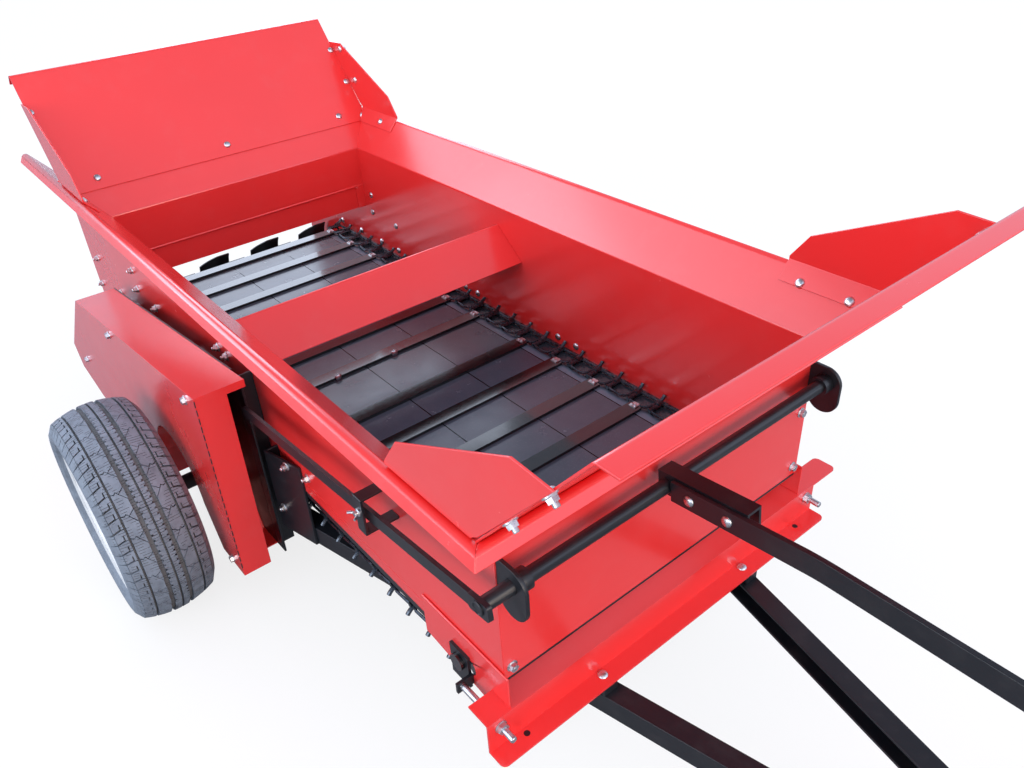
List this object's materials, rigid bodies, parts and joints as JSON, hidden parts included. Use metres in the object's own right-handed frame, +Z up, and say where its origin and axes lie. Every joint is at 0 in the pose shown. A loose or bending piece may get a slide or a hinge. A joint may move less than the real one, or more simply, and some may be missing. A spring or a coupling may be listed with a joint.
{
  "type": "topdresser spreader",
  "caption": "Towed ground-driven topdresser: flared steel hopper with a chain-and-slat floor, rear paddle beater, trailer wheels and a hand control at the front.",
  "frame": {"origin": "on the ground, midway along the overall length and on the centre line", "axes": "+X forward, the way it is towed; +Y the machine's left; +Z up"},
  "size_m": [3.133, 1.5996, 1.159],
  "materials": {
    "red_coat": "glossy powder coat",
    "black_coat": "satin powder coat",
    "floor_board": "extruded boards, lightly scuffed",
    "chain_steel": "dark malleable links",
    "slat_steel": "glossy black coat",
    "zinc_plate": "bright zinc plating",
    "white_rim": "gloss white paint",
    "tyre": "road tread rubber, a little dusty"
  },
  "bodies": {
    "chassis": {"hopper_side_left": "red_coat", "hopper_side_right": "red_coat", "hopper_front": "red_coat", "hopper_rear": "red_coat", "spill_panel_front": "red_coat", "spill_panel_rear": "red_coat", "gusset_front_left": "red_coat", "gusset_front_right": "red_coat", "gusset_rear_left": "red_coat", "gusset_rear_right": "red_coat", "brace": "red_coat", "drive_cover": "red_coat", "front_crossmember": "red_coat", "lower_plate_left": "red_coat", "lower_plate_right": "red_coat", "gate_guides": "black_coat", "floor_bearers": "black_coat", "floor_rail_left": "black_coat", "floor_rail_right": "black_coat", "shaft_bearings_left": "black_coat", "shaft_bearings_right": "black_coat", "axle_hanger_left": "black_coat", "axle_hanger_right": "black_coat", "tongue_bar_left": "black_coat", "tongue_bar_right": "black_coat", "tongue_bracket_left": "black_coat", "tongue_bracket_right": "black_coat", "tongue_pad_left": "black_coat", "tongue_pad_right": "black_coat", "hitch_clevis": "black_coat", "stand_sleeve": "black_coat", "cover_back": "black_coat", "cover_post": "black_coat", "control_ear_left": "black_coat", "control_ear_right": "black_coat", "arm_guide": "black_coat", "floor_boards": "floor_board", "apron_chains": "chain_steel", "apron_slats": "slat_steel", "drive_roller": "slat_steel", "idler_roller": "slat_steel", "takeup_left": "black_coat", "takeup_right": "black_coat", "axle": "black_coat"},
    "wheel_left": {"wheel_rim_left": "white_rim", "tyre_left": "tyre"},
    "wheel_right": {"wheel_rim_right": "white_rim", "tyre_right": "tyre"},
    "beater": {"beater": "black_coat"},
    "control": {"control_shaft": "black_coat", "control_handle": "black_coat"},
    "gate": {"gate": "red_coat"},
    "stand_leg": {"stand_leg": "zinc_plate"}
  },
  "joints": [
    {"name": "wheel_left_spin", "type": "hinge", "parent": "chassis", "child": "wheel_left", "pos_m": [-0.507, 0.697, 0.282], "axis": [0, 1, 0], "continuous": true},
    {"name": "wheel_right_spin", "type": "hinge", "parent": "chassis", "child": "wheel_right", "pos_m": [-0.507, -0.697, 0.282], "axis": [0, 1, 0], "continuous": true},
    {"name": "beater_spin", "type": "hinge", "parent": "chassis", "child": "beater", "pos_m": [-1.4465, 0, 0.335], "axis": [0, 1, 0], "continuous": true},
    {"name": "control_swing", "type": "hinge", "parent": "chassis", "child": "control", "pos_m": [0.6795, 0, 0.725], "axis": [0, 1, 0], "range_deg": [-2.8, 2.8]},
    {"name": "gate_slide", "type": "slide", "parent": "chassis", "child": "gate", "axis": [0, 0, 1], "range_m": [-0.035, 0.07]},
    {"name": "stand_slide", "type": "slide", "parent": "chassis", "child": "stand_leg", "axis": [0, 0, 1], "range_m": [0, 0.19]}
  ]
}
